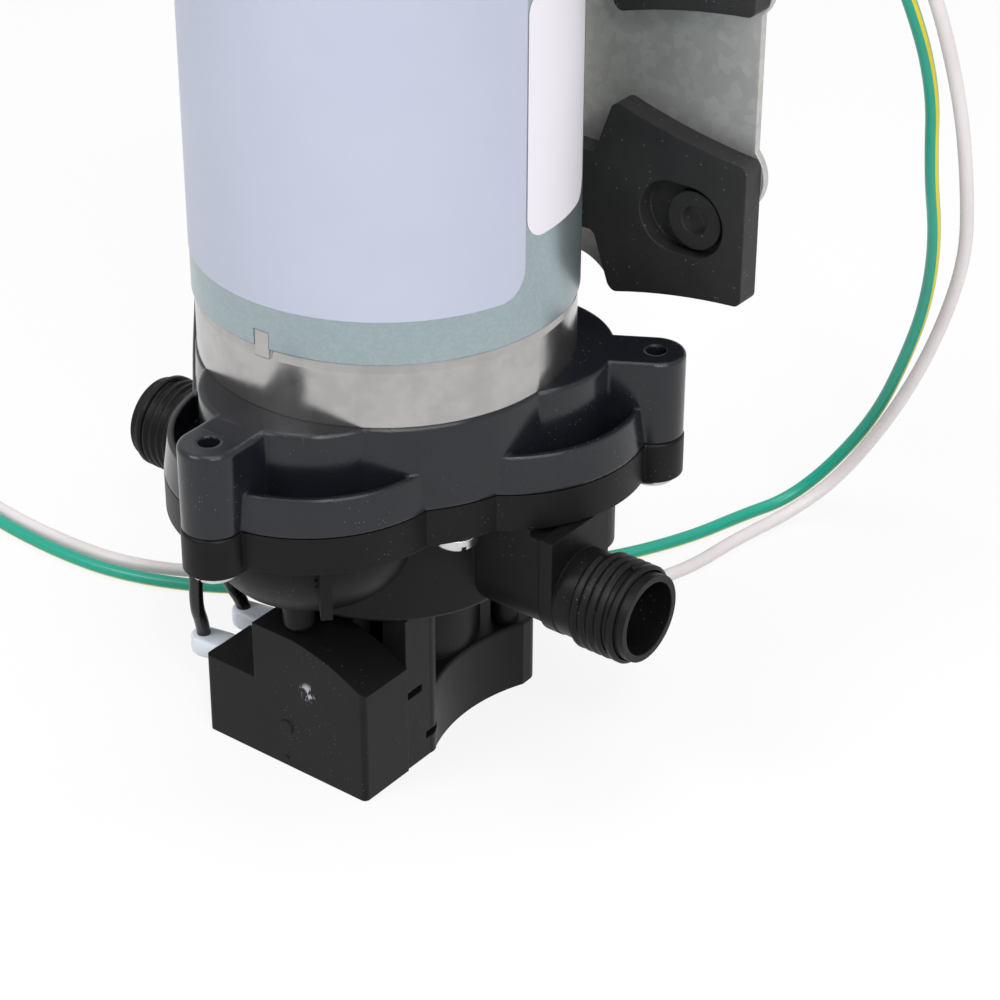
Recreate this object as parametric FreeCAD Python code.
import FreeCAD, Part
import math
import os

from FreeCAD import Vector

# Delivery pump for a caravan: a brushed motor above a three-chamber diaphragm pump head.
# Millimetres. +Z is the motor axis, from the head towards the rear of the motor.
# +X is the axis of the two hose ports, +Y is the side of the mounting base.
# The origin is on the motor axis, on the underside of the pressure switch that the pump stands on.

# Heights up the pump
tray_h = 16.0            # switch tray
head_floor_z = 37.0      # underside of the pump head's drum
port_z = 44.9            # axis of the hose ports
band_z = 60.5            # underside of the head's clamping band
band_h = 8.2             # band thickness, up to the parting face
rim_h = 7.9              # drive housing, parting face to the rim of its pockets
deck_h = 18.3            # drive housing, parting face to its deck
bell_h = 13.9            # visible band of the motor's front bell
can_len = 95.1           # motor can
rear_h = 12.6            # cylindrical part of the rear bell
rear_boss_h = 12.4       # bearing boss behind the rear bell

# Motor
can_r = 38.95
can_wall = 1.6
bell_step = 0.55         # how much smaller the bells are than the can, on the radius
bell_wall = 3.0
shaft_r = 4.0
bearing_r = 11.0
bearing_w = 7.0
magnet_t = 6.0
air_gap = 0.8
core_len = 42.0
core_slots = 12
commutator_r = 11.0
commutator_len = 12.0
brush_w = 6.0
brush_h = 8.0
brush_len = 12.0
running_gap = 0.05       # radial clearance of a shaft in its bearing
free_gap = 0.3           # clearance between bodies that only pass each other
tab_w = 3.4              # keying tab of the front bell in the can's notch
tab_h = 3.4
tab_angle = -88.3
bolt_inset = 4.35        # the two long bolts inside the can's wall
bolt_r = 2.0
bolt_head_w = 7.0
bolt_head_h = 2.8

# Pump head and drive housing plan
chamber_pitch = 24.0     # chamber axes from the motor axis
chamber_turn = 1.0       # the chambers are turned a little against the ports' axis
lobe_r = 30.0            # outer wall of a chamber's lobe
lobe_draft = 1.1         # how far the lobe wall leans in up to its rim
hub_r = 39.55            # wall between the lobes, at the parting face
deck_ledge = 0.4         # deck beyond the motor's bell, between the lobes
dome_r = 22.4            # raised dome inside a lobe's pocket, at the deck
pocket_wall = 1.3
ear_pitch = 54.5
ear_r = 6.2
ear_step = 0.2           # how much wider the lower housing's ears are, each side
ear_hole_r = 2.2
ear_head_r = 5.0
ear_head_h = 1.9
ear_drop = 27.3          # deck to the underside of an ear
web_start = 38.0         # inner end of an ear's web, inside the lobe
inner_screw_pitch = 35.4
inner_head_r = 4.6
wall = 2.4               # moulded walls
drum_r = 30.3
bowl_pitch = 25.5        # rounded bowl under each lobe
bowl_r = 22.2
bowl_floor_r = 17.0
bowl_depth = 15.9
chamber_angles = tuple(chamber_turn + angle for angle in (30.0, 150.0, 270.0))
inner_angles = tuple(chamber_turn + angle for angle in (90.0, 210.0, 330.0))

# Hose ports
port_end = 66.3          # end of the nose from the motor axis
thread_r = 10.48         # over the crests of the pipe thread
thread_len = 9.3
nose_r = 9.28
nose_len = 2.0
neck_r = 9.4
neck_len = 5.8
collar_half = 9.6        # flat-sided collar with a round underside
collar_w = 3.2
collar_drop = 0.3        # flat top of the collar below the head's band
root_half = 8.8
port_bore_r = 7.8
port_bore_depth = 17.0
post_r = 8.0             # round post beside each port

# Drive
pivot_z = 77.0           # centre about which the drive plate wobbles
drive_floor = 3.0        # wall between the drive chamber and the motor
cam_r = 6.0
inner_race_r = 8.2
ball_r = 2.2
outer_race_r = 13.6
race_w = 6.0
plate_t = 4.0
pad_r = 9.0
piston_r = 11.0
piston_t = 3.0
diaphragm_t = 1.8

# Valves
valve_r = 7.0
valve_t = 1.2
valve_plate_t = 5.0
valve_plate_z = 53.0
check_r = 5.0

# Pressure switch
switch_w = 43.4
switch_back = 24.0       # +Y side of the tray
cover_front = 35.5       # -Y side of the cover
cover_seam = 21.5        # where the cover meets the tray
cover_h = 32.4
cover_low_h = 25.8       # cover height at its sloping end
cover_slope_w = 19.0     # width of the sloping end
shelf_h = 18.9
shelf_w = 13.7           # low shelf for the terminals
cover_wall = 1.8
tray_inset = 0.4         # tray sides inside the cover's
scallop = 3.3
scallop_half = 15.5
spring_tube_r = 17.0
spring_tube_y = 3.0
screw_post_r = 3.1
plunger_r = 8.0
plunger_travel = 1.0
adjuster_r = 4.0
switch_corner_r = 3.0

# Mounting base
mount_gap = 5.05         # from the can to the face of the rubber mounts
mount_t = 5.3            # rubber in front of the base plate
plate_gauge = 1.6
foot_t = 3.1             # rubber behind the base plate
foot_r = 9.0
mount_half = 56.0        # half the length of a rubber mount
mount_z = 108.2          # screw holes of the front mount
mount_pitch_z = 62.0     # front mount to rear mount
mount_pitch_x = 86.6     # screw holes across
mount_hole_r = 3.0
mount_recess_r = 7.7     # oval recess, longer towards the middle of the mount
mount_recess_run = 4.9
mount_recess_d = 4.0
mount_tower_r = 6.3      # rubber tower round the screw, inside the recess
mount_tower_d = 1.2      # how far the tower stays below the face
mount_waist = 8.8        # half-height of the middle of a mount
waist_half = 18.5        # half-length of the waist
flare_x = 24.6           # where the flare is highest
mount_flare = 21.3       # half-height there
mount_tip = 15.3         # half-height at the outer end
mount_corner_r = 1.8
plate_inset = 1.6        # ends of the base plate inside the mounts'
plate_ear_r = 8.6        # round ears of the plate between the mounts
plate_ear_reach = 0.8    # how far they pass the ends of the mounts
plate_ear_z = 20.3       # from the middle of the plate
plate_lip = 23.2         # base plate beyond the mounts' screw holes, at its highest
plate_arch = 17.4        # the same in the middle, where the plate is cut away
arch_half = 12.0
saddle_half = 10.0       # half-width of the channel that joins plate and can
saddle_inset = 5.0       # from the can's ends
leg_gap = 1.0            # between the channel's legs and a rubber mount's waist

# Leads
lead_r = 1.5
lead_exit_z = 202.6
lead_angle = 34.0        # where the supply leads leave the rear bell
black_angle = 192.0      # where the switch leads enter it
lead_spread = 3.8        # the two leads in one grommet, centre to centre
grommet_r = 4.2
grommet_flange = 1.6
sleeve_len = 10.8        # barrel axis to the end of the tongue
sleeve_w = 7.0
sleeve_h = 3.6
sleeve_lift = 0.15       # tongue above the shelf
barrel_r = 2.9
barrel_top = 22.9
barrel_h = 3.8
blade_w = 6.3
blade_t = 0.8
blade_reach = 2.6        # blade beyond the tongue
sleeve_turn = 49.5
barrel_places = ((-24.9, -34.4), (-24.9, -21.4))
stripped_len = 7.0
entry_run = 4.6

# Routes of the leads, from their free ends or their terminals to the rear bell
green_route = [
    (-131.8, -3.6, 1.6), (-115.9, -5.8, 1.6), (-98.3, -6.8, 1.6), (-82.9, -5.9, 1.6), (-70.3, -2.5, 1.6),
    (-57.5, 3.6, 1.6), (-43.5, 14.0, 1.6), (-27.0, 31.5, 1.6), (-8.5, 50.5, 1.6), (7.5, 69.5, 1.6),
    (17.0, 88.5, 1.6), (21.5, 105.5, 1.6), (26.1, 117.2, 2.0), (33.2, 125.0, 10.5), (42.7, 127.6, 26.3),
    (50.6, 124.6, 44.8), (57.4, 120.0, 63.5), (62.7, 111.8, 84.5), (65.3, 102.0, 104.7), (67.2, 96.4, 128.0),
    (64.6, 84.8, 153.0), (59.8, 71.2, 177.5), (54.2, 57.4, 194.6), (47.6, 43.6, 203.4), (41.6, 32.2, 205.0)]
white_route = [
    (-133.9, 0.4, 1.6), (-118.0, -1.9, 1.6), (-100.4, -2.6, 1.6), (-85.2, -1.6, 1.6), (-72.9, 2.0, 1.6),
    (-60.5, 8.9, 1.6), (-46.5, 20.6, 2.2), (-30.0, 37.0, 5.2), (-13.6, 46.6, 6.6), (4.0, 54.6, 3.4),
    (18.0, 62.5, 1.6), (24.6, 76.5, 1.6), (26.2, 95.5, 1.6), (29.9, 111.8, 2.0), (36.5, 121.6, 9.0),
    (45.0, 125.2, 23.5), (54.0, 123.9, 41.0), (62.5, 119.8, 61.0), (69.2, 114.2, 81.5), (72.7, 105.2, 101.5),
    (73.6, 97.2, 124.0), (71.0, 87.6, 150.0), (66.2, 75.8, 174.0), (58.4, 56.6, 190.8),
    (51.2, 40.9, 200.6), (44.6, 30.2, 203.2)]
# The switch leads: free points first, then (angle, distance outside the can, height) up the pump's back
lower_start = [(0.0, 0.0, 0.0), (0.0, 0.0, 5.6), (-1.2, 1.4, 14.6), (-6.2, 7.2, 23.6), (-11.1, 13.3, 32.0)]
upper_start = [(0.0, 0.0, 0.0), (0.0, 0.0, 4.6), (-4.2, 0.5, 11.0), (-9.2, 2.0, 18.6), (-12.9, 4.2, 27.4)]
lower_climb = [
    (208.6, 2.75, 65.5), (206.8, 2.75, 76.5), (200.7, 2.7, 87.5), (197.6, 2.5, 100.0), (197.4, 2.4, 116.0),
    (197.4, 2.4, 133.0), (196.6, 2.6, 150.0), (195.4, 5.2, 166.5), (194.6, 9.8, 180.4), (194.3, 13.4, 190.4),
    (194.3, 12.9, 196.8), (194.3, 10.2, 200.9)]
upper_climb = [
    (203.2, 2.75, 61.0), (203.0, 2.75, 69.0), (200.4, 2.75, 79.0), (195.0, 2.7, 89.5), (192.2, 2.5, 102.0),
    (192.0, 2.4, 118.0), (192.0, 2.4, 134.0), (191.4, 2.6, 150.0), (190.6, 5.2, 166.0), (190.0, 9.8, 179.6),
    (189.9, 13.5, 190.4), (189.9, 12.9, 196.8), (189.9, 10.2, 200.9)]

# Smaller sizes of the moving and wearing pieces
cam_room_r = 28.0
inner_screw_r = 1.9
inner_head_h = 2.6
weight_r = 14.0
plate_arm_half = 5.0     # half-width of an arm of the drive plate
ball_count = 8
piston_screw_r = 1.6
head_lobe_r = 19.3       # room of the valve housing in the head
cup_wall = 2.3           # valve housing round a cup, at the top
cup_draft = 2.5
valve_stem_r = 1.4
outlet_valve_r = 12.6
outlet_room_r = 13.5
duct_r = 4.6
check_seat_x = 32.0
check_bore_r = 6.4
post_x = 40.0
post_y = 11.0
post_places = ((18.3, -13.0), (-9.0, -17.6), (16.3, 18.3), (-16.3, 18.3))
drum_floor = 5.0         # thickness of the drum's floor, which takes the switch screws
switch_screw_r = 1.15
outlet_hole_pitch = 10.8
stop_post_r = 3.3        # round stop under the front bowl, above the switch cover
stop_post = (1.6, -31.6)
stop_gap = 1.0
stop_rib_turn = 43.5     # thin rib on the front bowl, from the lobe's own axis
stop_rib_r = 28.6
stop_rib_t = 2.4
stop_rib_h = 11.4
seat_flange_r = 7.2      # spring seat on the adjusting screw
key_floor = 1.4          # tray floor under the adjusting screw
key_hole_r = 2.2
neck_half = 5.0          # channel of the switch arm, from tube to cover
neck_top = 29.5
window_z = (4.5, 6.3)    # snap window in the side of the tray
window_y = (-15.2, -10.8)
notch_z = (17.4, 19.2)   # small notch at the front corner, above the tray
notch_back = -16.4
snap_d = 1.8             # depth of both
switch_diaphragm_r = 12.0
switch_diaphragm_t = 1.6
arm_w = 5.0
arm_t = 2.4
arm_z = 24.0
snap_len = 20.0
button_x = 0.0
button_y = -28.5
button_r = 1.2
micro_top = 22.4

parting_z = band_z + band_h
rim_z = parting_z + rim_h
deck_z = parting_z + deck_h
bell_z = deck_z + bell_h
can_z = bell_z + can_len
rear_z = can_z + rear_h
top_z = rear_z + rear_boss_h
can_in_r = can_r - can_wall
bell_r = can_r - bell_step
bolt_pitch_r = can_in_r - bolt_inset
head_hub_r = drum_r - wall
cup_top_r = head_lobe_r - cup_wall
cup_r = cup_top_r - cup_draft
base_front_y = can_r + mount_gap
plate_end = mount_half - plate_inset

UP = Vector(0, 0, 1)
ORIGIN = Vector(0, 0, 0)
parts = {}


def cyl(radius, z0, z1, x=0.0, y=0.0):
    """An upright cylinder between two heights."""
    return Part.makeCylinder(radius, z1 - z0, Vector(x, y, z0), UP)


def rod(radius, start, end):
    """A cylinder from one point to another."""
    axis = end - start
    return Part.makeCylinder(radius, axis.Length, start, axis)


def block(x0, x1, y0, y1, z0, z1):
    """A box between two corners."""
    return Part.makeBox(x1 - x0, y1 - y0, z1 - z0, Vector(x0, y0, z0))


def polar(radius, degrees, z=0.0):
    """A point given by radius and angle about the motor axis."""
    angle = math.radians(degrees)
    return Vector(radius * math.cos(angle), radius * math.sin(angle), z)


def turned(shape, degrees):
    """A copy turned about the motor axis."""
    copy = shape.copy()
    copy.rotate(ORIGIN, UP, degrees)
    return copy


def ringed(shape, angles):
    """Copies of a shape at several angles about the motor axis, in one list."""
    return [turned(shape, angle) for angle in angles]


def profile(points, height=None, z=0.0):
    """A closed outline in the XY plane, extruded up from z, or its face."""
    corners = [Vector(x, y, z) for x, y in points]
    face = Part.Face(Part.makePolygon(corners + corners[:1]))
    return face if height is None else face.extrude(Vector(0, 0, height))


def revolved(points):
    """A solid of revolution about the motor axis from (radius, height) points."""
    corners = [Vector(r, 0, z) for r, z in points]
    return Part.Face(Part.makePolygon(corners + corners[:1])).revolve(ORIGIN, UP, 360)


def fuse(shapes):
    """All the shapes as one solid, with its coplanar faces merged."""
    return shapes[0].fuse(shapes[1:]).removeSplitter()


def group(shapes):
    """Separate solids that share one node."""
    return Part.makeCompound(shapes)


def lobed(hub, lobe, z0, z1, hub_top=None, lobe_top=None):
    """The three-lobed plan of the pump: a hub and three chamber lobes, with draft."""
    hub_end = hub if hub_top is None else hub_top
    lobe_end = lobe if lobe_top is None else lobe_top
    height = z1 - z0
    shapes = [tapered(hub, hub_end, z0, height, ORIGIN)]
    for angle in chamber_angles:
        shapes.append(tapered(lobe, lobe_end, z0, height, polar(chamber_pitch, angle)))
    return fuse(shapes)


def tapered(r0, r1, z0, height, centre):
    """An upright cylinder, or a cone where its two radii differ."""
    base = Vector(centre.x, centre.y, z0)
    if abs(r0 - r1) < 1e-6:
        return Part.makeCylinder(r0, height, base, UP)
    return Part.makeCone(r0, r1, height, base, UP)


def hexagon(across, z0, height, centre):
    """An upright hexagonal prism."""
    radius = across / math.sqrt(3)
    corners = []
    for k in range(6):
        angle = math.radians(60 * k)
        corners.append((centre.x + radius * math.cos(angle), centre.y + radius * math.sin(angle)))
    return profile(corners, height, z0)


def softened(shape, radius, wanted):
    """The shape with a fillet on each edge that the test picks."""
    edges = [edge for edge in shape.Edges if wanted(edge)]
    return shape.makeFillet(radius, edges) if edges else shape


def at_height(edge, z):
    """Whether an edge lies wholly at one height."""
    box = edge.BoundBox
    return abs(box.ZMin - z) < 1e-4 and abs(box.ZMax - z) < 1e-4


def upright(edge):
    """Whether an edge is a straight upright line."""
    box = edge.BoundBox
    return box.XLength < 1e-4 and box.YLength < 1e-4 and box.ZLength > 1.0


def pan_screw(head_r, head_h, shank_r, shank_len, top, down=True):
    """A pan-head screw whose head rests on a face at the given point."""
    sign = -1.0 if down else 1.0
    head = Part.makeCylinder(head_r, head_h, top, Vector(0, 0, -sign))
    head = softened(head, head_h * 0.45, lambda e: at_height(e, top.z - sign * head_h))
    shank = Part.makeCylinder(shank_r, shank_len, top, Vector(0, 0, sign))
    slot = block(-head_r, head_r, -0.5, 0.5, -0.5 * head_h, 0.5 * head_h)
    slot.translate(Vector(top.x, top.y, top.z - sign * head_h))
    return head.fuse(shank).cut(slot)


def spring(coil_r, wire_r, length, turns, start, axis):
    """A wound compression spring: one tube on a helix."""
    climb = length - 2 * wire_r
    helix = Part.makeHelix(climb / turns, climb, coil_r)
    ring = Part.Wire([Part.makeCircle(wire_r, Vector(coil_r, 0, 0), Vector(0, 1, 0))])
    coil = Part.Wire(helix).makePipeShell([ring], True, True)
    turn = FreeCAD.Rotation(UP, axis)
    inset = axis / axis.Length * wire_r
    coil.Placement = FreeCAD.Placement(start + inset, turn)
    return coil


def lead_tube(name, points, radius):
    """A lead as straight runs joined by tangent arcs, each as large as its runs allow."""
    route = [Vector(*p) for p in points]
    runs = [(b - a).Length for a, b in zip(route, route[1:])]
    edges = []
    last = route[0]
    radii = []
    for k in range(1, len(route) - 1):
        back = (route[k - 1] - route[k]).normalize()
        ahead = (route[k + 1] - route[k]).normalize()
        half = (math.pi - back.getAngle(ahead)) / 2
        reach = 0.45 * min(runs[k - 1], runs[k])
        radii.append(reach / math.tan(half))
        enter = route[k] + back * reach
        leave = route[k] + ahead * reach
        bisector = (back + ahead).normalize()
        centre = route[k] + bisector * (radii[-1] / math.cos(half))
        middle = centre - bisector * radii[-1]
        edges.append(Part.LineSegment(last, enter).toShape())
        edges.append(Part.Arc(enter, middle, leave).toShape())
        last = leave
    edges.append(Part.LineSegment(last, route[-1]).toShape())
    path = Part.Wire(edges)
    section = Part.Wire([Part.makeCircle(radius, route[0], route[1] - route[0])])
    tube = path.makePipeShell([section], True, False)
    wanted = math.pi * radius ** 2 * path.Length
    ratio = tube.Volume / wanted
    print(name, "length %.1f" % path.Length, "volume ratio %.4f" % ratio,
          "least radius %.1f" % min(radii), "radii", " ".join("%.0f" % r for r in radii))
    return tube


def motor_shell():
    """The can, its two end bells, and the long bolts that hold them together."""
    can = cyl(can_r, bell_z, can_z).cut(cyl(can_in_r, bell_z - 1, can_z + 1))
    can = softened(can, can_wall * 0.5, lambda e: at_height(e, can_z) and e.Curve.Radius > can_in_r + 0.1)
    half = tab_w / 2 + 0.15
    notch = block(can_in_r - 1, can_r + 1, -half, half, bell_z - 1, bell_z + tab_h + 0.1)
    parts["motor_can"] = can.cut(turned(notch, tab_angle))

    spigot = can_in_r - 0.02
    seat_z = deck_z + bell_wall
    bearing_top = seat_z + bearing_w
    bell = revolved([
        (bearing_r - 3.0, deck_z), (bell_r, deck_z), (bell_r, bell_z - 2.2), (bell_r - 0.5, bell_z),
        (spigot, bell_z), (spigot, bell_z + 4.0), (spigot - bell_wall, bell_z + 4.0),
        (spigot - bell_wall, seat_z), (bearing_r + 3.0, seat_z), (bearing_r + 3.0, bearing_top),
        (bearing_r, bearing_top), (bearing_r, seat_z), (bearing_r - 3.0, seat_z)])
    tab = block(spigot - 0.5, can_r - 0.1, -tab_w / 2, tab_w / 2, bell_z - 2.2, bell_z + tab_h)
    rib = block(bearing_r + 2.0, spigot - 1.0, -1.2, 1.2, seat_z - 0.5, seat_z + 4.0)
    bell = fuse([bell, turned(tab, tab_angle)] + ringed(rib, range(0, 360, 60)))
    holes = ringed(cyl(bolt_r + 0.2, deck_z + 1.0, bell_z + 5.0, bolt_pitch_r), (0, 180))
    parts["front_bell"] = bell.cut(group(holes))

    boss_r = bearing_r + 4.0
    rear_seat = rear_z + 1.0
    rear = revolved([
        (0, top_z), (boss_r - 2.0, top_z), (boss_r, top_z - 2.0), (boss_r, rear_z + 2.0),
        (boss_r + 2.0, rear_z), (bell_r, rear_z), (bell_r, can_z),
        (spigot, can_z), (spigot, can_z - 4.0), (spigot - bell_wall, can_z - 4.0),
        (spigot - bell_wall, rear_z - bell_wall), (bearing_r, rear_z - bell_wall),
        (bearing_r, rear_seat + bearing_w), (0, rear_seat + bearing_w)])
    rear = softened(rear, 1.4, lambda e: at_height(e, rear_z) and e.Curve.Radius > bell_r - 0.1)
    rear = rear.cut(group(ringed(cyl(bolt_r + 0.2, can_z - 5, rear_z + 1, bolt_pitch_r), (0, 180))))
    mouths = [rod(grommet_r, polar(bell_r - 8, a, lead_exit_z), polar(bell_r + 2, a, lead_exit_z))
              for a in (lead_angle, black_angle)]
    parts["rear_bell"] = rear.cut(group(mouths))

    bolts = []
    for angle in (0, 180):
        foot = polar(bolt_pitch_r, angle, deck_z + 1.2)
        seat = polar(bolt_pitch_r, angle, rear_z)
        slot = block(-bolt_head_w, bolt_head_w, -0.5, 0.5, bolt_head_h * 0.55, bolt_head_h + 1)
        head = hexagon(bolt_head_w, rear_z, bolt_head_h, seat).cut(slot.translated(seat))
        bolts.append(rod(bolt_r, foot, seat).fuse(head))
    parts["through_bolts"] = group(bolts)


def grommet(angle):
    """A rubber grommet in the rear bell's side wall, with a flange outside; the leads end on its face."""
    inner = polar(bell_r - bell_wall - 1.5, angle, lead_exit_z)
    seat = polar(bell_r, angle, lead_exit_z)
    face = polar(bell_r + grommet_flange, angle, lead_exit_z)
    return rod(grommet_r - 0.05, inner, face).fuse(rod(grommet_r + 1.0, seat, face)).removeSplitter()


def motor_inside():
    """Magnets, armature, bearings, and the brush gear under the rear bell."""
    core_z = bell_z + 22.0
    core_top = core_z + core_len
    magnet_in = can_in_r - magnet_t
    core_r = magnet_in - air_gap
    card_top = can_z - 4.0
    card_z = card_top - 2.0
    brush_z = card_z - brush_h / 2 - 1.0
    bearing_seat = deck_z + bell_wall
    rear_seat = rear_z + 1.0

    ring = cyl(can_in_r - 0.05, core_z - 2, core_top + 2).cut(cyl(magnet_in, core_z - 3, core_top + 3))
    wedge = block(-can_r, can_r, -13.0, 13.0, core_z - 4, core_top + 4)
    parts["field_magnets"] = group(ring.cut(wedge).Solids)

    slot = block(core_r - 9.0, core_r - 1.6, -1.6, 1.6, core_z - 1, core_top + 1)
    slot = slot.fuse(block(core_r - 2.0, core_r + 1, -0.8, 0.8, core_z - 1, core_top + 1))
    pitch = 360.0 / core_slots
    slots = ringed(slot, [k * pitch for k in range(core_slots)])
    core = cyl(core_r, core_z, core_top).cut(cyl(shaft_r, core_z - 1, core_top + 1))
    parts["armature_core"] = core.cut(group(slots))

    bar = block(core_r - 8.8, core_r - 2.2, -1.4, 1.4, core_z - 2, core_top + 2)
    low = revolved([(7.0, core_z - 7.5), (core_r - 6.0, core_z - 7.5), (core_r - 2.2, core_z - 3.5),
                    (core_r - 2.2, core_z), (7.0, core_z)])
    high = revolved([(7.0, core_top), (core_r - 2.2, core_top), (core_r - 2.2, core_top + 4),
                     (core_r - 7.0, core_top + 9), (7.0, core_top + 9)])
    parts["armature_windings"] = fuse([low, high] + ringed(bar, [k * pitch for k in range(core_slots)]))

    bars = cyl(commutator_r, brush_z - commutator_len / 2, brush_z + commutator_len / 2)
    bars = bars.cut(cyl(shaft_r, 0, top_z))
    groove = block(commutator_r - 1.0, commutator_r + 1, -0.25, 0.25,
                   brush_z - commutator_len, brush_z + commutator_len)
    parts["commutator"] = bars.cut(group(ringed(groove, [k * pitch for k in range(core_slots)])))

    shaft_top = rear_seat + bearing_w - 0.4
    parts["motor_shaft"] = cyl(shaft_r, pivot_z - race_w / 2 - 1.5, shaft_top)
    for name, z in (("front_bearing", bearing_seat), ("rear_bearing", rear_seat)):
        top = z + bearing_w
        race = cyl(bearing_r - 0.02, z, top).cut(cyl(shaft_r + running_gap, z - 1, top + 1))
        for face in (z - 1, top - 0.5):
            dish = cyl(bearing_r - 2.2, face, face + 1.5)
            race = race.cut(dish.cut(cyl(shaft_r + 2.2, face - 1, face + 3)))
        parts[name] = race

    card = cyl(can_in_r - 0.3, card_z, card_top).cut(cyl(commutator_r + 3.0, card_z - 1, card_top + 1))
    card = card.cut(group(ringed(cyl(bolt_r + 0.4, card_z - 1, card_top + 1, bolt_pitch_r), (0, 180))))
    parts["brush_card"] = card

    holders = []
    inner_y = commutator_r + 2.0
    outer_y = inner_y + brush_len + 8.0
    half_w = brush_w / 2
    half_h = brush_h / 2
    for sign, side in ((1, "rear"), (-1, "front")):
        slack = 0.15
        shell = block(-half_w - 1, half_w + 1, inner_y, outer_y, brush_z - half_h - 1, brush_z + half_h + 1)
        shell = shell.cut(block(-half_w - slack, half_w + slack, inner_y - 1, outer_y - 1,
                                brush_z - half_h - slack, brush_z + half_h + slack))
        face_y = commutator_r + 0.1
        back_y = face_y + brush_len
        brush = block(-half_w, half_w, commutator_r - 2, back_y, brush_z - half_h, brush_z + half_h)
        brush = brush.cut(cyl(face_y, brush_z - brush_h, brush_z + brush_h))
        coil = spring(2.2, 0.35, outer_y - 1 - back_y, 6, Vector(0, back_y, brush_z), Vector(0, 1, 0))
        turn = 0 if sign > 0 else 180
        holders.append(turned(shell, turn))
        parts["brush_" + side] = turned(brush, turn)
        parts["brush_spring_" + side] = turned(coil, turn)
    parts["brush_holders"] = group(holders)

    near_x = commutator_r + 3.5
    far_x = bolt_pitch_r - bolt_r - 4.5
    bridge = block(near_x, far_x, -9.0, 9.0, card_top, card_top + 5.5)
    parts["rectifier"] = bridge.cut(cyl(2.0, card_top - 1, card_top + 7, (near_x + far_x) / 2))
    cutout = block(-far_x, -near_x - 1.0, -5.0, 5.0, card_top, card_top + 4.5)
    parts["thermal_cutout"] = softened(cutout, 1.2, upright)


def drive_housing():
    """The upper housing: deck, chamber domes, open pockets between dome and lobe wall, and three ears."""
    rim_r = lobe_r - lobe_draft
    centre = Vector(chamber_pitch, 0, 0)
    hub = tapered(hub_r, bell_r + deck_ledge, parting_z, deck_h - 1.0, ORIGIN)
    dome = cyl(dome_r, parting_z, deck_z, chamber_pitch)
    skirt = tapered(lobe_r, rim_r, parting_z, rim_h, centre)
    body = lobed(bell_r + deck_ledge, dome_r, parting_z, deck_z)
    body = softened(body, 0.8, lambda e: at_height(e, deck_z) and e.Length > 4)
    body = body.fuse(hub)
    ears = ringed(ear(ear_r, parting_z, deck_z), chamber_angles)
    shape = fuse([body] + ringed(skirt, chamber_angles) + ears)

    pocket = cyl(rim_r - pocket_wall, parting_z + 2.0, rim_z + 1, chamber_pitch)
    pocket = pocket.cut(dome).cut(hub)
    pocket = pocket.cut(block(0, ear_pitch, -ear_r, ear_r, parting_z, deck_z))
    shape = shape.cut(group([s for p in ringed(pocket, chamber_angles) for s in p.Solids]))

    room = lobed(cam_room_r, dome_r - wall, parting_z - 1, deck_z - drive_floor)
    shape = shape.cut(room).cut(cyl(bearing_r - 3.0, deck_z - 5, deck_z + 1))
    shape = shape.cut(group(ringed(cyl(ear_hole_r, parting_z - 1, deck_z + 1, ear_pitch), chamber_angles)))
    pilot = cyl(inner_screw_r, parting_z - 1, deck_z - 5, inner_screw_pitch)
    shape = shape.cut(group(ringed(pilot, inner_angles)))
    parts["drive_housing"] = shape


def ear(radius, z0, z1):
    """One screw ear on the +X axis: a round column and the web that joins it to the body."""
    column = cyl(radius, z0, z1, ear_pitch)
    web = block(web_start, ear_pitch, -radius, radius, z0, z1)
    shape = column.fuse(web).removeSplitter()
    return softened(shape, 0.9, lambda e: at_height(e, z1) and e.Length > 13
                    and e.BoundBox.XMax > web_start + 1)


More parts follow.
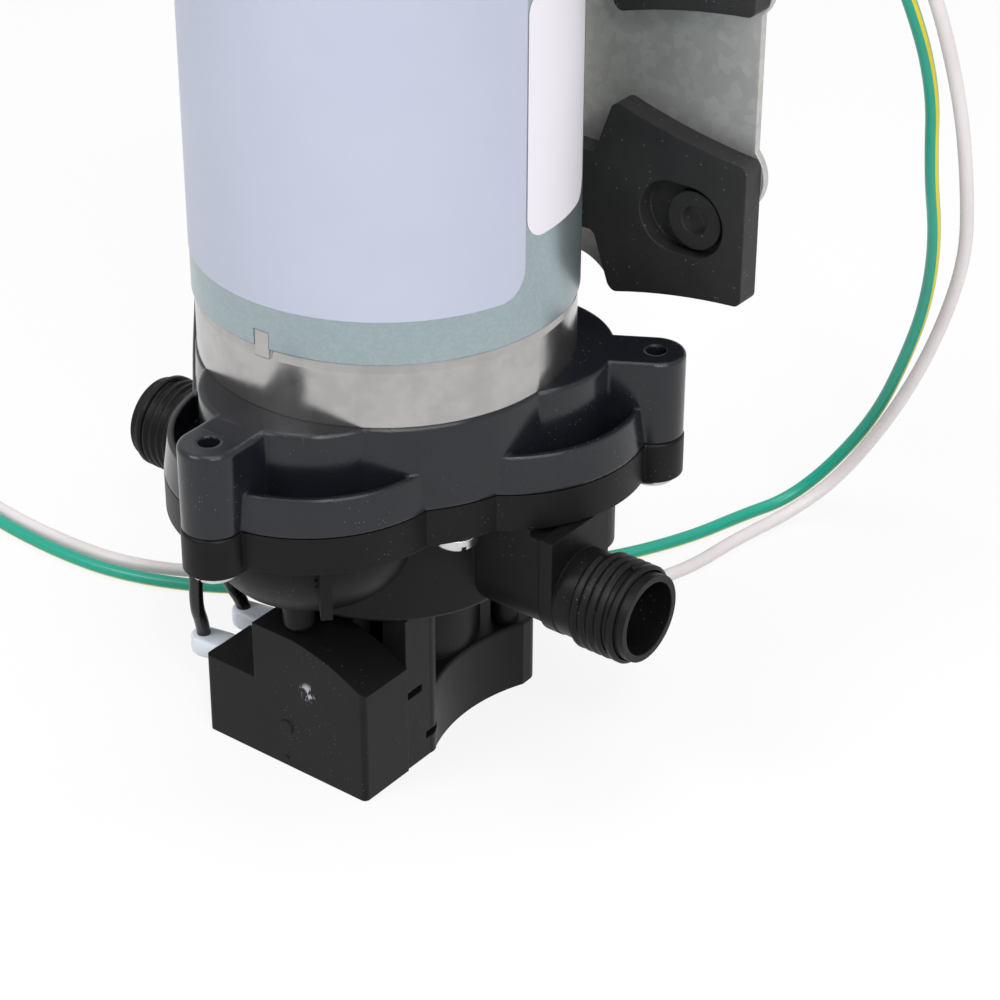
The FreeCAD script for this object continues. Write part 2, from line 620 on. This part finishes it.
def drive_train():
    """The cam on the shaft, its self-aligning bearing, and the plate that works the pistons."""
    low = pivot_z - race_w / 2
    high = pivot_z + race_w / 2
    hub = cyl(cam_r, low - 1.5, high + 2.0).cut(cyl(shaft_r, 0, deck_z))
    weight_z = high + 1.8
    weight = cyl(weight_r, weight_z, weight_z + 2.0).cut(cyl(shaft_r, 0, deck_z))
    cut_side = block(-weight_r, weight_r, 0, weight_r, weight_z - 1, weight_z + 3)
    weight = weight.cut(cut_side.cut(cyl(cam_r + 1.5, 0, deck_z)))
    parts["cam"] = fuse([hub, weight])

    ball_pitch = inner_race_r + ball_r * 0.55
    groove = Part.makeTorus(ball_pitch, ball_r + 0.05, Vector(0, 0, pivot_z), UP)
    inner = cyl(inner_race_r, low, high).cut(cyl(cam_r, 0, deck_z)).cut(groove)
    balls = [Part.makeSphere(ball_r, polar(ball_pitch, k * 360.0 / ball_count, pivot_z))
             for k in range(ball_count)]
    parts["cam_bearing_inner"] = group([inner] + balls)

    raceway = Part.makeSphere(ball_pitch + ball_r + free_gap, Vector(0, 0, pivot_z))
    parts["cam_bearing_outer"] = cyl(outer_race_r, low, high).cut(raceway)

    pad_z = parting_z + 0.2
    plate = cyl(outer_race_r + 3.2, low - 0.5, high + 0.5)
    arms = []
    for angle in chamber_angles:
        arm = block(outer_race_r, chamber_pitch, -plate_arm_half, plate_arm_half,
                    pad_z + 2.0, low + plate_t - 0.5)
        arm = arm.fuse(cyl(pad_r, pad_z, pad_z + plate_t, chamber_pitch))
        arms.append(turned(arm, angle))
    plate = fuse([plate] + arms)
    plate = plate.cut(cyl(outer_race_r, low, deck_z)).cut(cyl(outer_race_r - 3.0, parting_z, low + 1))
    screw_holes = ringed(cyl(piston_screw_r, pad_z - 1, deck_z, chamber_pitch), chamber_angles)
    parts["wobble_plate"] = plate.cut(group(screw_holes))

    piston_top = parting_z - diaphragm_t
    piston = tapered(piston_r - 2.0, piston_r, piston_top - piston_t, piston_t, Vector(chamber_pitch, 0, 0))
    piston = piston.cut(cyl(piston_screw_r, 0, deck_z, chamber_pitch))
    sink_z = piston_top - piston_t + 1.6
    piston = piston.cut(cyl(piston_screw_r * 2 + 0.1, piston_top - piston_t - 1, sink_z, chamber_pitch))
    parts["pistons"] = group(ringed(piston, chamber_angles))
    top = Vector(chamber_pitch, 0, sink_z)
    screw = rod(piston_screw_r, top, Vector(chamber_pitch, 0, pad_z + plate_t))
    screw = screw.fuse(rod(piston_screw_r * 2, top - Vector(0, 0, 1.4), top))
    parts["piston_screws"] = group(ringed(screw, chamber_angles))


def diaphragm():
    """The rubber sheet between the housings, clamped at its rim, with a rolled groove round each piston."""
    low = parting_z - diaphragm_t
    sheet = lobed(hub_r - wall - 5.0, lobe_r - wall - 1.0, low, parting_z)
    for angle in chamber_angles:
        centre = polar(chamber_pitch, angle, parting_z + 0.5)
        sheet = sheet.cut(Part.makeTorus(piston_r + 3.0, 1.2, centre, UP))
        sheet = sheet.cut(cyl(piston_screw_r + 0.05, low - 1, parting_z + 1, centre.x, centre.y))
    parts["diaphragm"] = sheet


def valves():
    """The valve housing with its three chamber cups under the pistons, and its rubber valves."""
    low = valve_plate_z
    floor = low + valve_plate_t
    top = parting_z - diaphragm_t
    plate = lobed(head_hub_r - free_gap, head_lobe_r - free_gap, low, top)
    holes = [cyl(valve_stem_r, low - 1, top + 1), cyl(outlet_hole_pitch / 2, floor, top + 1)]
    for angle in chamber_angles:
        centre = polar(chamber_pitch, angle)
        holes.append(tapered(cup_r, cup_top_r, floor, top + 0.01 - floor, centre))
        holes.append(cyl(valve_r + 1.0, floor - valve_t, floor + 1, centre.x, centre.y))
        holes.append(cyl(valve_stem_r, low - 1, floor + 1, centre.x, centre.y))
        for k in range(5):
            spot = centre + polar(4.2, angle + k * 72)
            holes.append(cyl(1.3, low - 1, floor + 1, spot.x, spot.y))
        for k in (-1, 1):
            spot = polar(outlet_hole_pitch, angle + k * 8)
            holes.append(cyl(1.2, low - 1, floor + 1, spot.x, spot.y))
    parts["valve_housing"] = plate.cut(group(holes))

    seat = floor - valve_t
    inlet = cyl(valve_r, seat, seat + valve_t, chamber_pitch)
    inlet = inlet.fuse(cyl(valve_stem_r, low - 1.4, seat + 0.2, chamber_pitch))
    barb = tapered(valve_stem_r, valve_stem_r + 0.7, low - 1.4, 1.4, Vector(chamber_pitch, 0, 0))
    parts["inlet_valves"] = group(ringed(inlet.fuse(barb).removeSplitter(), chamber_angles))

    parts["outlet_valve"] = revolved([
        (0, low - 1.6), (outlet_valve_r, low - valve_t), (outlet_valve_r, low), (valve_stem_r, low),
        (valve_stem_r, floor), (valve_stem_r + 0.7, floor), (valve_stem_r, floor + 1.4), (0, floor + 1.4)])


def pump_head():
    """The lower housing: clamping band, rounded bowls, drum, ducts, and the two threaded ports."""
    band = lobed(hub_r, lobe_r, band_z, parting_z)
    drum = softened(cyl(drum_r, head_floor_z, band_z + 1), 1.0, lambda e: at_height(e, head_floor_z))
    shapes = [band, drum] + ringed(bowl(0.0), chamber_angles)
    shapes += ringed(ear(ear_r + ear_step, deck_z - ear_drop, parting_z), chamber_angles)
    shapes += [port(), turned(port(), 180)]
    shapes += [cyl(post_r, port_z + 4.0, band_z + 1, x, post_y) for x in (-post_x, post_x)]
    shapes += stops()
    shape = fuse(shapes)

    recess = lobed(hub_r - wall - 4.8, lobe_r - wall - 0.8, parting_z - diaphragm_t, parting_z + 1)
    room = lobed(head_hub_r, head_lobe_r, valve_plate_z, parting_z)
    floor_top = head_floor_z + drum_floor
    inside = cyl(head_hub_r - 1.0, floor_top, valve_plate_z + 1)
    gallery = fuse([inside] + ringed(bowl(wall), chamber_angles))
    gallery = gallery.cut(cyl(outlet_room_r + wall, 0, deck_z))
    duct = rod(duct_r + wall, Vector(0, 0, port_z), Vector(drum_r, 0, port_z))
    gallery = gallery.cut(duct)
    hollow = cyl(outlet_room_r, floor_top, valve_plate_z + 1)
    shape = shape.cut(recess).cut(room).cut(gallery).cut(hollow)
    shape = shape.cut(rod(duct_r, Vector(outlet_room_r - 3, 0, port_z), Vector(port_end, 0, port_z)))
    shape = shape.cut(rod(duct_r, Vector(-drum_r + wall + 2, 0, port_z), Vector(-port_end, 0, port_z)))
    for sign in (-1, 1):
        step = Vector(sign * check_seat_x, 0, port_z)
        mouth = Vector(sign * (port_end - port_bore_depth), 0, port_z)
        end = Vector(sign * (port_end + 1), 0, port_z)
        shape = shape.cut(rod(check_bore_r, step, mouth)).cut(rod(port_bore_r, mouth, end))
    shape = shape.cut(cyl(2.0, head_floor_z - 1, floor_top + 1, 0, spring_tube_y))
    pilots = [cyl(switch_screw_r, head_floor_z - 1, floor_top - 0.5, x, y) for x, y in post_places]
    shape = shape.cut(group(pilots))
    low = deck_z - ear_drop - 1
    shape = shape.cut(group(ringed(cyl(ear_hole_r, low, deck_z, ear_pitch), chamber_angles)))
    shape = shape.cut(group(ringed(cyl(inner_screw_r, low, deck_z, inner_screw_pitch), inner_angles)))
    parts["pump_head"] = shape


def stops():
    """The round stop under the front bowl, above the switch cover, and the thin rib beside it."""
    x, y = stop_post
    post = cyl(stop_post_r, cover_h + stop_gap, band_z, x, y)
    post = softened(post, stop_post_r * 0.5, lambda e: at_height(e, cover_h + stop_gap))
    half = stop_rib_t / 2
    rib = block(bowl_floor_r, stop_rib_r, -half, half, band_z - stop_rib_h, band_z + 0.5)
    rib.rotate(ORIGIN, UP, chamber_angles[2] + stop_rib_turn)
    rib.translate(polar(chamber_pitch, chamber_angles[2]))
    return [post, rib]


def bowl(inset):
    """The rounded underside of one lobe, on the +X axis, or the hollow inside it."""
    floor = bowl_floor_r - inset
    z_top = band_z + 0.5 if inset == 0 else valve_plate_z + 0.5
    z_floor = band_z - bowl_depth + inset
    start = Vector(bowl_r if inset == 0 else (bowl_r - inset) * 0.93, 0, z_top)
    end = Vector(floor, 0, z_floor)
    middle = Vector(floor + (start.x - floor) * 0.66, 0, z_floor + (start.z - z_floor) * 0.26)
    edges = [Part.Arc(start, middle, end).toShape(),
             Part.LineSegment(end, Vector(0, 0, z_floor)).toShape(),
             Part.LineSegment(Vector(0, 0, z_floor), Vector(0, 0, z_top)).toShape(),
             Part.LineSegment(Vector(0, 0, z_top), start).toShape()]
    dish = Part.Face(Part.Wire(edges)).revolve(ORIGIN, UP, 360)
    dish.translate(Vector(bowl_pitch, 0, 0))
    return dish


def trough(half, top, x0, x1):
    """A bar along X with a half-round underside about the ports' axis, upright sides and a flat top."""
    left = Vector(x0, -half, port_z)
    right = Vector(x0, half, port_z)
    corners = [right, Vector(x0, half, top), Vector(x0, -half, top), left]
    edges = [Part.LineSegment(a, b).toShape() for a, b in zip(corners, corners[1:])]
    edges.append(Part.Arc(left, Vector(x0, 0, port_z - half), right).toShape())
    return Part.Face(Part.Wire(edges)).extrude(Vector(x1 - x0, 0, 0))


def port():
    """The +X hose port: flat-sided root and collar, neck, plain thread barrel and nose."""
    thread_end = port_end - nose_len
    thread_start = thread_end - thread_len
    neck_start = thread_start - neck_len
    collar_start = neck_start - collar_w
    lobe_edge = lobe_r + chamber_pitch * math.cos(math.radians(chamber_angles[0])) - wall - 5.0
    pieces = [trough(root_half, band_z + 0.5, drum_r - 8, lobe_edge),
              trough(root_half, band_z - 1.0, drum_r - 8, collar_start),
              trough(collar_half, band_z - collar_drop, collar_start, neck_start),
              rod(neck_r, Vector(collar_start, 0, port_z), Vector(thread_start, 0, port_z)),
              rod(thread_r, Vector(thread_start, 0, port_z), Vector(thread_end, 0, port_z)),
              rod(nose_r, Vector(thread_end, 0, port_z), Vector(port_end, 0, port_z))]
    return fuse(pieces)


def check_valve():
    """The spring-loaded check valve in the outlet port's bore."""
    seat = check_seat_x
    disc = rod(check_r, Vector(seat, 0, port_z), Vector(seat + 2.0, 0, port_z))
    stem = rod(1.6, Vector(seat + 1, 0, port_z), Vector(seat + 9.0, 0, port_z))
    parts["check_valve"] = fuse([disc, stem])
    cage_x = seat + 12.0
    cage = rod(check_bore_r - 0.02, Vector(cage_x, 0, port_z), Vector(cage_x + 2.0, 0, port_z))
    for k in range(3):
        angle = math.radians(90 + 120 * k)
        y = 3.9 * math.cos(angle)
        z = port_z + 3.9 * math.sin(angle)
        cage = cage.cut(rod(1.7, Vector(cage_x - 1, y, z), Vector(cage_x + 3, y, z)))
    parts["check_valve_cage"] = cage
    parts["check_spring"] = spring(2.6, 0.35, 10.0, 6, Vector(seat + 2.0, 0, port_z), Vector(1, 0, 0))


def housing_screws():
    """The screws through the ears and the inner bosses, heads below."""
    ear_z = deck_z - ear_drop
    outer = pan_screw(ear_head_r, ear_head_h, ear_hole_r - 0.05, 22.0, Vector(0, 0, ear_z), False)
    outer.translate(Vector(ear_pitch, 0, 0))
    parts["ear_screws"] = group(ringed(outer, chamber_angles))
    inner = pan_screw(inner_head_r, inner_head_h, inner_screw_r - 0.05, 19.0, Vector(0, 0, band_z), False)
    inner.translate(Vector(inner_screw_pitch, 0, 0))
    parts["inner_screws"] = group(ringed(inner, inner_angles))


def tray_outline():
    """The plan of the switch tray: square corners at the seam, scalloped sides, round rear corners."""
    half = switch_w / 2 - tray_inset
    y0 = -cover_seam
    y1 = switch_back
    c = switch_corner_r
    waist = half - scallop
    mid = spring_tube_y
    left = -half
    low = mid - scallop_half
    high = mid + scallop_half
    nip = c * (1 - math.sqrt(0.5))
    points = [Vector(half, y0, 0), Vector(half, low, 0), Vector(waist, mid, 0), Vector(half, high, 0)]
    edges = [Part.LineSegment(Vector(left, y0, 0), points[0]).toShape(),
             Part.LineSegment(points[0], points[1]).toShape(),
             Part.Arc(points[1], points[2], points[3]).toShape(),
             Part.LineSegment(points[3], Vector(half, y1 - c, 0)).toShape(),
             Part.Arc(Vector(half, y1 - c, 0), Vector(half - nip, y1 - nip, 0),
                      Vector(half - c, y1, 0)).toShape(),
             Part.LineSegment(Vector(half - c, y1, 0), Vector(c - half, y1, 0)).toShape(),
             Part.Arc(Vector(c - half, y1, 0), Vector(nip - half, y1 - nip, 0),
                      Vector(left, y1 - c, 0)).toShape(),
             Part.LineSegment(Vector(left, y1 - c, 0), Vector(left, high, 0)).toShape(),
             Part.Arc(Vector(left, high, 0), Vector(-waist, mid, 0), Vector(left, low, 0)).toShape(),
             Part.LineSegment(Vector(left, low, 0), Vector(left, y0, 0)).toShape()]
    return Part.Face(Part.Wire(edges))


def switch():
    """The pressure switch: tray and spring tube, plunger, spring, adjusting screw and snap switch."""
    tray = tray_outline().extrude(Vector(0, 0, tray_h))
    tray = softened(tray, 0.8, lambda e: at_height(e, tray_h) and e.Length > 8 and e.BoundBox.YMax > 0)
    tube = cyl(spring_tube_r, tray_h - 1, head_floor_z, 0, spring_tube_y)
    posts = [cyl(screw_post_r, 0, head_floor_z, x, y) for x, y in post_places]
    neck = block(-neck_half, neck_half, -cover_seam, spring_tube_y - 10.0, tray_h - 1, neck_top)
    corner_x, corner_y = post_places[0]
    corner = block(corner_x - screw_post_r, corner_x + screw_post_r - 0.1, -cover_seam, corner_y,
                   tray_h - 1, head_floor_z)
    body = fuse([tray, tube, neck, corner] + posts)
    centre_y = spring_tube_y
    bore_z = tray_h / 2
    disc_top = head_floor_z - switch_diaphragm_t
    holes = [cyl(plunger_r + free_gap, bore_z, head_floor_z + 1, 0, centre_y),
             cyl(switch_diaphragm_r, disc_top, head_floor_z + 1, 0, centre_y),
             cyl(adjuster_r + running_gap, key_floor, bore_z + 1, 0, centre_y),
             cyl(key_hole_r, -1, key_floor + 1, 0, centre_y),
             arm_slot(-cover_seam - 1, centre_y)]
    for x, y in post_places:
        holes.append(cyl(switch_screw_r, -1, head_floor_z + 1, x, y))
        holes.append(cyl(switch_screw_r * 2, -1, 3.0, x, y))
    side = switch_w / 2
    holes.append(block(side - snap_d, side + 1, *window_y, *window_z))
    holes.append(block(-side - 1, snap_d - side, *window_y, *window_z))
    holes.append(block(side - snap_d, side + 1, -cover_seam - 1, notch_back, *notch_z))
    parts["switch_body"] = body.cut(group(holes))
    screws = []
    for x, y in post_places:
        shank = cyl(switch_screw_r - 0.02, 1.2, head_floor_z + drum_floor - 1.0, x, y)
        screws.append(shank.fuse(cyl(switch_screw_r * 2 - 0.1, 1.2, 3.0, x, y)))
    parts["switch_screws"] = group(screws)

    parts["switch_diaphragm"] = cyl(switch_diaphragm_r - 0.1, disc_top, head_floor_z, 0, centre_y)
    head_z = disc_top - 3.0
    plunger = cyl(plunger_r, head_z, disc_top, 0, centre_y)
    leg_y = centre_y - plunger_r + 0.4
    leg = block(-arm_w / 2, arm_w / 2, leg_y, leg_y + 1.5, arm_z, head_z + 1)
    arm = block(-arm_w / 2, arm_w / 2, button_y - 2.0, leg_y + 1.5, arm_z, arm_z + arm_t)
    parts["switch_plunger"] = fuse([plunger, leg, arm])
    flange_z = tray_h - 3.5
    seat = tray_h - 2.0
    screw = cyl(adjuster_r, key_floor + 0.2, flange_z + 1, 0, centre_y)
    screw = screw.fuse(cyl(seat_flange_r, flange_z, seat, 0, centre_y))
    parts["adjusting_screw"] = screw.cut(hexagon(3.0, 0, 5.0, Vector(0, centre_y, 0))).removeSplitter()
    parts["switch_spring"] = spring(5.2, 0.6, head_z - seat, 5, Vector(0, centre_y, seat), UP)

    back = -cover_seam - cover_wall - 0.4
    snap_x = shelf_w - switch_w / 2 + cover_wall + 0.4
    snap = block(snap_x, snap_x + snap_len, -cover_front + cover_wall + 0.4, back, cover_wall, micro_top)
    snap = softened(snap, 0.8, upright)
    parts["snap_switch"] = snap.cut(cyl(button_r + 0.2, micro_top - 2.5, micro_top + 1, button_x, button_y))
    parts["snap_button"] = cyl(button_r, micro_top - 1.2, arm_z, button_x, button_y)


def arm_slot(y0, y1):
    """The room that the switch arm needs through the tube, the neck and the cover."""
    half = arm_w / 2 + 0.4
    return block(-half, half, y0, y1, arm_z - plunger_travel - 0.5, arm_z + arm_t + 0.6)


def cover_profile():
    """The front view of the cover: low shelf at -X, flat top, and a rounded fall to the +X end."""
    half = switch_w / 2
    step_x = shelf_w - half
    drop = cover_h - cover_low_h
    corners = [Vector(-half, 0, 0), Vector(half, 0, 0), Vector(half, 0, cover_low_h),
               Vector(half - cover_slope_w, 0, cover_h), Vector(step_x, 0, cover_h),
               Vector(step_x, 0, shelf_h), Vector(-half, 0, shelf_h)]
    edges = []
    for k, start in enumerate(corners):
        end = corners[(k + 1) % len(corners)]
        if k == 2:
            middle = Vector(half - cover_slope_w / 2, 0, cover_low_h + drop * 0.68)
            edges.append(Part.Arc(start, middle, end).toShape())
        else:
            edges.append(Part.LineSegment(start, end).toShape())
    return Part.Face(Part.Wire(edges))


def switch_cover():
    """The snap-on cover of the snap switch, open towards the tray."""
    depth = cover_front - cover_seam
    shell = cover_profile().extrude(Vector(0, depth, 0))
    shell.translate(Vector(0, -cover_front, 0))
    shell = softened(shell, 1.2, lambda e: upright(e) and e.BoundBox.YMax < -cover_seam - 1
                     and abs(e.BoundBox.XMin) > switch_w / 2 - 1)
    half = switch_w / 2 - cover_wall
    y0 = -cover_front + cover_wall
    step_x = shelf_w - switch_w / 2 + cover_wall
    back = -cover_seam - cover_wall
    inner = block(-half, half, y0, back, cover_wall, shelf_h - cover_wall)
    inner = inner.fuse(block(step_x, half, y0, back, cover_wall, cover_low_h - cover_wall))
    inner = inner.fuse(block(-half, half, y0, -cover_seam + 1, cover_wall, tray_h - cover_wall))
    inner = inner.fuse(block(step_x, 4.0, y0, back, cover_wall, cover_h - cover_wall))
    shell = shell.cut(inner)
    parts["switch_cover"] = shell.cut(arm_slot(y0, 0))


def terminals():
    """Two bent blades beside the switch and the nylon sleeves pushed over them, barrels upright."""
    blades = []
    sleeves = []
    tongue_z = shelf_h + sleeve_lift
    half = blade_w / 2
    for (x, y), foot_z in zip(barrel_places, (shelf_h, tray_h)):
        tongue = block(0, sleeve_len, -sleeve_w / 2, sleeve_w / 2, tongue_z, tongue_z + sleeve_h)
        tongue = softened(tongue, 1.2, lambda e: e.BoundBox.XLength > sleeve_len - 0.1)
        sleeve = fuse([tongue, cyl(barrel_r, barrel_top - barrel_h, barrel_top)])
        blade_z = tongue_z + (sleeve_h - blade_t) / 2
        reach = sleeve_len + blade_reach
        flat = block(barrel_r + 1.0, reach, -half, half, blade_z, blade_z + blade_t)
        leg = block(reach - blade_t, reach, -half, half, foot_z, blade_z + blade_t)
        blade = fuse([flat, leg])
        sleeve = sleeve.cut(blade)
        for shape in (sleeve, blade):
            shape.rotate(ORIGIN, UP, sleeve_turn)
            shape.translate(Vector(x, y, 0))
        sleeves.append(sleeve)
        blades.append(blade)
    parts["terminal_blades"] = group(blades)
    parts["terminal_sleeves"] = group(sleeves)


def mounting_base():
    """The steel base plate with its channel welded to the can, and its two rubber mounts."""
    plate_y = base_front_y + mount_t
    middle = mount_z + mount_pitch_z / 2
    reach = mount_pitch_z / 2
    corners = [(0, 0), (plate_end, 0), (plate_end, reach + mount_tip), (flare_x, reach + plate_lip - 2.0),
               (waist_half + 2.0, reach + plate_lip), (arch_half, reach + plate_arch),
               (0, reach + plate_arch)]
    quarter = [Vector(x, plate_y, z) for x, z in corners]
    bulge = Vector(arch_half + 5.0, plate_y, reach + plate_arch + 1.9)
    edges = [Part.LineSegment(quarter[k], quarter[k + 1]).toShape() for k in (0, 1, 2, 3)]
    edges += [Part.Arc(quarter[4], bulge, quarter[5]).toShape(),
              Part.LineSegment(quarter[5], quarter[6]).toShape(),
              Part.LineSegment(quarter[6], quarter[0]).toShape()]
    plate = four_fold(edges, plate_gauge)
    ear_x = mount_half + plate_ear_reach - plate_ear_r
    for x in (-ear_x, ear_x):
        for z in (-plate_ear_z, plate_ear_z):
            face = Vector(x, plate_y, z)
            plate = plate.fuse(rod(plate_ear_r, face, face + Vector(0, plate_gauge, 0)))
    plate.translate(Vector(0, 0, middle))

    outer = can_r + plate_gauge
    z0 = bell_z + saddle_inset
    z1 = can_z - saddle_inset
    strap = cyl(outer, z0, z1).cut(cyl(can_r, z0 - 1, z1 + 1))
    strap = strap.common(block(-saddle_half, saddle_half, 0, outer + 1, z0, z1))
    edge_y = math.sqrt(can_r ** 2 - saddle_half ** 2)
    leg_z0 = mount_z + mount_waist + leg_gap
    leg_z1 = mount_z + mount_pitch_z - mount_waist - leg_gap
    leg = block(saddle_half - plate_gauge, saddle_half, edge_y + 0.5, plate_y + 0.5, leg_z0, leg_z1)
    other = leg.mirror(ORIGIN, Vector(1, 0, 0))
    holes = []
    for z in (mount_z, mount_z + mount_pitch_z):
        for x in (-mount_pitch_x / 2, mount_pitch_x / 2):
            start = Vector(x, plate_y - 1, z)
            holes.append(rod(mount_tower_r, start, start + Vector(0, plate_gauge + 2, 0)))
    parts["base_plate"] = fuse([plate, strap, leg, other]).cut(group(holes))
    parts["rubber_mount_front"] = rubber_mount(mount_z)
    parts["rubber_mount_rear"] = rubber_mount(mount_z + mount_pitch_z)


def four_fold(edges, thickness):
    """A plate from one quarter of its outline, mirrored across both middle lines."""
    quarter = Part.Face(Part.Wire(edges)).extrude(Vector(0, thickness, 0))
    half = quarter.fuse(quarter.mirror(ORIGIN, Vector(1, 0, 0)))
    return half.fuse(half.mirror(ORIGIN, UP)).removeSplitter()


def rubber_mount(z):
    """A waisted rubber bar on the base plate; two sleeves pass through the plate and end in round feet."""
    y = base_front_y
    low = Vector(waist_half + 1.0, y, mount_waist + 0.8)
    crest = Vector(flare_x - 1.4, y, mount_flare - 1.2)
    tip = Vector(mount_half, y, mount_tip)
    rise = Vector(waist_half, y, mount_waist)
    shoulder = Vector(flare_x, y, mount_flare)
    sag = Vector((flare_x + mount_half) / 2, y, (mount_flare + mount_tip) / 2 - 0.9)
    corners = [Vector(0, y, mount_waist), Vector(0, y, 0), Vector(mount_half, y, 0)]
    edges = [Part.LineSegment(corners[0], corners[1]).toShape(),
             Part.LineSegment(corners[1], corners[2]).toShape(),
             Part.LineSegment(corners[2], tip).toShape(),
             Part.Arc(tip, sag, shoulder).toShape(),
             Part.LineSegment(shoulder, crest).toShape(),
             Part.LineSegment(crest, low).toShape(),
             Part.LineSegment(low, rise).toShape(),
             Part.LineSegment(rise, corners[0]).toShape()]
    bar = four_fold(edges, mount_t)
    bar = softened(bar, mount_corner_r, lambda e: e.BoundBox.YLength > mount_t - 0.1
                   and e.BoundBox.XLength < 0.01 and abs(e.BoundBox.ZMin) > mount_waist + 1.0)
    end = y + mount_t + plate_gauge + foot_t
    for x, inward in ((-mount_pitch_x / 2, mount_recess_run), (mount_pitch_x / 2, -mount_recess_run)):
        face = Vector(x, y, 0)
        groove = rod(mount_recess_r, face - Vector(0, 1, 0), face + Vector(0, mount_recess_d, 0))
        other = groove.translated(Vector(inward, 0, 0))
        between = block(min(x, x + inward), max(x, x + inward), y - 1, y + mount_recess_d,
                        -mount_recess_r, mount_recess_r)
        groove = groove.fuse([other, between]).removeSplitter()
        groove = groove.cut(rod(mount_tower_r, face - Vector(0, 1, 0), face + Vector(0, mount_t, 0)))
        dip = rod(mount_tower_r, face - Vector(0, 1, 0), face + Vector(0, mount_tower_d, 0))
        sleeve = rod(mount_tower_r - 0.1, face + Vector(0, mount_t - 1, 0), Vector(x, end, 0))
        foot = rod(foot_r, Vector(x, end - foot_t, 0), Vector(x, end, 0))
        bar = bar.cut(groove).cut(dip).fuse([sleeve, foot]).removeSplitter()
        bar = bar.cut(rod(mount_hole_r, face - Vector(0, 1, 0), Vector(x, end + 1, 0)))
    bar.translate(Vector(0, 0, z))
    return bar


def leads():
    """The two loose supply leads, their stripped ends, and the two switch leads up to the rear bell."""
    ends = []
    lower_route = switch_route(0, lower_start, lower_climb)
    upper_route = switch_route(1, upper_start, upper_climb)
    for name, route, angle, side in (("green_yellow_lead", green_route, lead_angle, 1),
                                     ("white_lead", white_route, lead_angle, -1),
                                     ("black_lead_lower", lower_route, black_angle, 1),
                                     ("black_lead_upper", upper_route, black_angle, -1)):
        parts[name] = lead_tube(name, route + bell_entry(angle, side), lead_r)
        if angle == lead_angle:
            start = Vector(*route[0])
            along = (start - Vector(*route[1])).normalize()
            ends.append(rod(lead_r * 0.55, start, start + along * stripped_len))
    parts["lead_ends"] = group(ends)


def switch_route(place, start, climb):
    """A switch lead's route: from its terminal's barrel, then up the pump's back beside the can."""
    x, y = barrel_places[place]
    free = [(x + dx, y + dy, barrel_top + dz) for dx, dy, dz in start]
    return free + [tuple(polar(can_r + out, angle, z)) for angle, out, z in climb]


def bell_entry(angle, side):
    """The last straight run of a lead, square on to the grommet's face."""
    shift = polar(side * lead_spread / 2, angle + 90)
    face = polar(bell_r + grommet_flange, angle, lead_exit_z) + shift
    before = polar(bell_r + grommet_flange + entry_run, angle, lead_exit_z) + shift
    return [tuple(before), tuple(face)]


def main():
    """Build every piece and write it to its own STEP file."""
    motor_shell()
    parts["lead_grommet"] = grommet(lead_angle)
    parts["switch_lead_grommet"] = grommet(black_angle)
    motor_inside()
    drive_housing()
    drive_train()
    diaphragm()
    valves()
    pump_head()
    check_valve()
    housing_screws()
    switch()
    switch_cover()
    terminals()
    mounting_base()
    leads()
    os.makedirs("parts", exist_ok=True)
    for name, shape in parts.items():
        shape.exportStep("parts/" + name + ".step")
    bad = [name for name, shape in parts.items() if not shape.isValid() or shape.Volume <= 0]
    print(len(parts), "nodes; not valid:", bad)


main()
